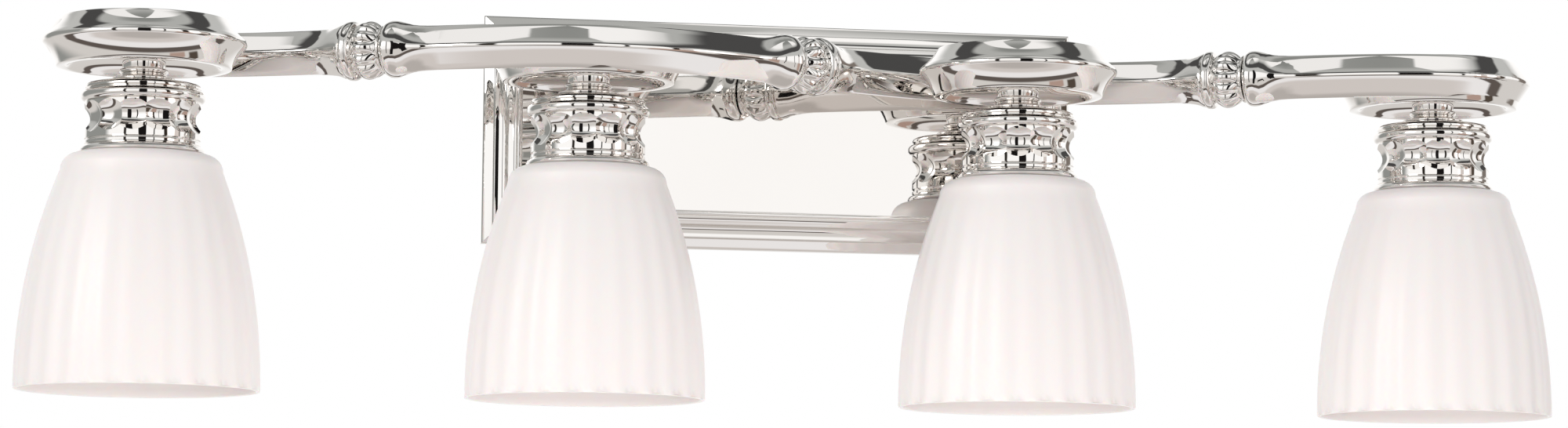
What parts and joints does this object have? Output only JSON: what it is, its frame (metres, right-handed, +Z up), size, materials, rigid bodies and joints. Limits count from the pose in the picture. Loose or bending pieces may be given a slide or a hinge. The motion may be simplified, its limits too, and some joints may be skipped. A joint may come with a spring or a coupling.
{
  "type": "vanity light bar",
  "caption": "Wall-mounted vanity light bar: a wave-shaped nickel arm with fluted beads and round rings carries ribbed opal glass bell shades that hang below a moulded backplate.",
  "frame": {"origin": "on the wall, at the middle of the wall bracket's rear face, behind the middle of the backplate", "axes": "+X to the right along the bar as seen from the room, +Y into the wall, +Z up"},
  "size_m": [0.886, 0.1521, 0.2275],
  "materials": {
    "nickel": "polished nickel plate",
    "zinc_steel": "zinc-plated steel",
    "raw_brass": "machined brass",
    "bulb_cap": "rolled thread",
    "porcelain": "glazed porcelain",
    "opal_glass": "satin opal glass",
    "frosted_bulb": "frosted white glass"
  },
  "bodies": {
    "fixture": {"back_plate": "nickel", "wall_bracket": "zinc_steel", "arm_casting_1": "nickel", "ring_lid_1": "nickel", "rod_nut_1": "zinc_steel", "lamp_rod_1": "zinc_steel", "stem_1": "nickel", "fitter_1": "nickel", "lamp_holder_1": "porcelain", "shade_1": "opal_glass", "arm_casting_2": "nickel", "ring_lid_2": "nickel", "rod_nut_2": "zinc_steel", "lamp_rod_2": "zinc_steel", "stem_2": "nickel", "fitter_2": "nickel", "lamp_holder_2": "porcelain", "shade_2": "opal_glass", "arm_casting_3": "nickel", "ring_lid_3": "nickel", "rod_nut_3": "zinc_steel", "lamp_rod_3": "zinc_steel", "stem_3": "nickel", "fitter_3": "nickel", "lamp_holder_3": "porcelain", "shade_3": "opal_glass", "arm_casting_4": "nickel", "ring_lid_4": "nickel", "rod_nut_4": "zinc_steel", "lamp_rod_4": "zinc_steel", "stem_4": "nickel", "fitter_4": "nickel", "lamp_holder_4": "porcelain", "shade_4": "opal_glass", "plate_boss_2": "nickel", "plate_stud_2": "zinc_steel", "stud_nut_2": "zinc_steel", "lip_screw_2": "zinc_steel", "plate_boss_3": "nickel", "plate_stud_3": "zinc_steel", "stud_nut_3": "zinc_steel", "lip_screw_3": "zinc_steel", "bead_1": "nickel", "bead_rod_1": "zinc_steel", "bead_2": "nickel", "bead_rod_2": "zinc_steel", "bead_3": "nickel", "bead_rod_3": "zinc_steel"},
    "shade_ring_1": {"shade_ring_1": "raw_brass"},
    "bulb_1": {"bulb_cap_1": "bulb_cap", "bulb_glass_1": "frosted_bulb"},
    "shade_ring_2": {"shade_ring_2": "raw_brass"},
    "bulb_2": {"bulb_cap_2": "bulb_cap", "bulb_glass_2": "frosted_bulb"},
    "shade_ring_3": {"shade_ring_3": "raw_brass"},
    "bulb_3": {"bulb_cap_3": "bulb_cap", "bulb_glass_3": "frosted_bulb"},
    "shade_ring_4": {"shade_ring_4": "raw_brass"},
    "bulb_4": {"bulb_cap_4": "bulb_cap", "bulb_glass_4": "frosted_bulb"}
  },
  "joints": [
    {"name": "shade_ring_turn_1", "type": "hinge", "parent": "fixture", "child": "shade_ring_1", "pos_m": [-0.375, -0.0841, -0.037], "axis": [0, 0, 1], "continuous": true},
    {"name": "bulb_turn_1", "type": "hinge", "parent": "fixture", "child": "bulb_1", "pos_m": [-0.375, -0.0841, -0.042], "axis": [0, 0, 1], "continuous": true},
    {"name": "shade_ring_turn_2", "type": "hinge", "parent": "fixture", "child": "shade_ring_2", "pos_m": [-0.125, -0.0841, -0.037], "axis": [0, 0, 1], "continuous": true},
    {"name": "bulb_turn_2", "type": "hinge", "parent": "fixture", "child": "bulb_2", "pos_m": [-0.125, -0.0841, -0.042], "axis": [0, 0, 1], "continuous": true},
    {"name": "shade_ring_turn_3", "type": "hinge", "parent": "fixture", "child": "shade_ring_3", "pos_m": [0.125, -0.0841, -0.037], "axis": [0, 0, 1], "continuous": true},
    {"name": "bulb_turn_3", "type": "hinge", "parent": "fixture", "child": "bulb_3", "pos_m": [0.125, -0.0841, -0.042], "axis": [0, 0, 1], "continuous": true},
    {"name": "shade_ring_turn_4", "type": "hinge", "parent": "fixture", "child": "shade_ring_4", "pos_m": [0.375, -0.0841, -0.037], "axis": [0, 0, 1], "continuous": true},
    {"name": "bulb_turn_4", "type": "hinge", "parent": "fixture", "child": "bulb_4", "pos_m": [0.375, -0.0841, -0.042], "axis": [0, 0, 1], "continuous": true}
  ]
}
